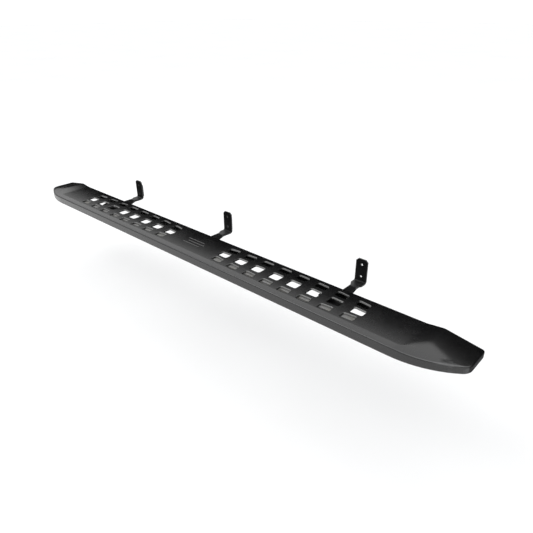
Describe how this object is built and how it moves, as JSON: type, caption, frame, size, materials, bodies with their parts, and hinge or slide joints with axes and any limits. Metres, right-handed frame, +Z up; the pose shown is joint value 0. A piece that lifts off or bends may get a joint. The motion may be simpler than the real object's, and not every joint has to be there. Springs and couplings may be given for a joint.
{
  "type": "running board",
  "caption": "Punched steel running board with flanged grip holes and faceted tapered ends, carried by adjustable bolt-on brackets under the sill.",
  "frame": {"origin": "centre of the two-hole pattern of the centre bracket, on the face that seats against the vehicle", "axes": "+X towards the rear of the truck along the board, +Y inboard towards the truck, +Z up"},
  "size_m": [2.152, 0.293, 0.1002],
  "materials": {
    "powder_coat": "satin fine-texture black powder coat",
    "bracket_coat": "satin black powder coat",
    "e_coat": "matt black e-coat",
    "rail_zinc": "dull zinc plate",
    "zinc_hardware": "bright zinc plate",
    "spring_steel": "phosphated spring steel",
    "plug_plastic": "matt moulded plastic"
  },
  "bodies": {
    "board": {"step_shell": "powder_coat", "outer_rail": "rail_zinc", "outer_ribs": "e_coat", "inner_ribs": "e_coat", "end_bulkhead_front": "e_coat", "end_bulkhead_rear": "e_coat", "rail_plug_front": "plug_plastic", "rail_plug_rear": "plug_plastic"},
    "clamp_front": {"t_bolt_front": "zinc_hardware", "ledge_bolts_front": "zinc_hardware", "flat_washers_front": "zinc_hardware", "lock_washers_front": "spring_steel", "hex_nuts_front": "zinc_hardware"},
    "clamp_centre": {"t_bolt_centre": "zinc_hardware", "ledge_bolts_centre": "zinc_hardware", "flat_washers_centre": "zinc_hardware", "lock_washers_centre": "spring_steel", "hex_nuts_centre": "zinc_hardware"},
    "clamp_rear": {"t_bolt_rear": "zinc_hardware", "ledge_bolts_rear": "zinc_hardware", "flat_washers_rear": "zinc_hardware", "lock_washers_rear": "spring_steel", "hex_nuts_rear": "zinc_hardware"},
    "arm_front": {"bracket_front": "bracket_coat"},
    "arm_centre": {"bracket_centre": "bracket_coat"},
    "arm_rear": {"bracket_rear": "bracket_coat"}
  },
  "joints": [
    {"name": "fore_aft_front", "type": "slide", "parent": "board", "child": "clamp_front", "axis": [1, 0, 0], "range_m": [-0.01, 0.01]},
    {"name": "fore_aft_centre", "type": "slide", "parent": "board", "child": "clamp_centre", "axis": [1, 0, 0], "range_m": [-0.01, 0.01]},
    {"name": "fore_aft_rear", "type": "slide", "parent": "board", "child": "clamp_rear", "axis": [1, 0, 0], "range_m": [-0.01, 0.01]},
    {"name": "in_out_front", "type": "slide", "parent": "clamp_front", "child": "arm_front", "axis": [0, 1, 0], "range_m": [-0.008, 0.008]},
    {"name": "in_out_centre", "type": "slide", "parent": "clamp_centre", "child": "arm_centre", "axis": [0, 1, 0], "range_m": [-0.008, 0.008]},
    {"name": "in_out_rear", "type": "slide", "parent": "clamp_rear", "child": "arm_rear", "axis": [0, 1, 0], "range_m": [-0.008, 0.008]}
  ],
  "couplings": [
    {"joint": "fore_aft_centre", "follows": "fore_aft_front", "ratio": 1},
    {"joint": "fore_aft_rear", "follows": "fore_aft_front", "ratio": 1},
    {"joint": "in_out_centre", "follows": "in_out_front", "ratio": 1},
    {"joint": "in_out_rear", "follows": "in_out_front", "ratio": 1}
  ]
}
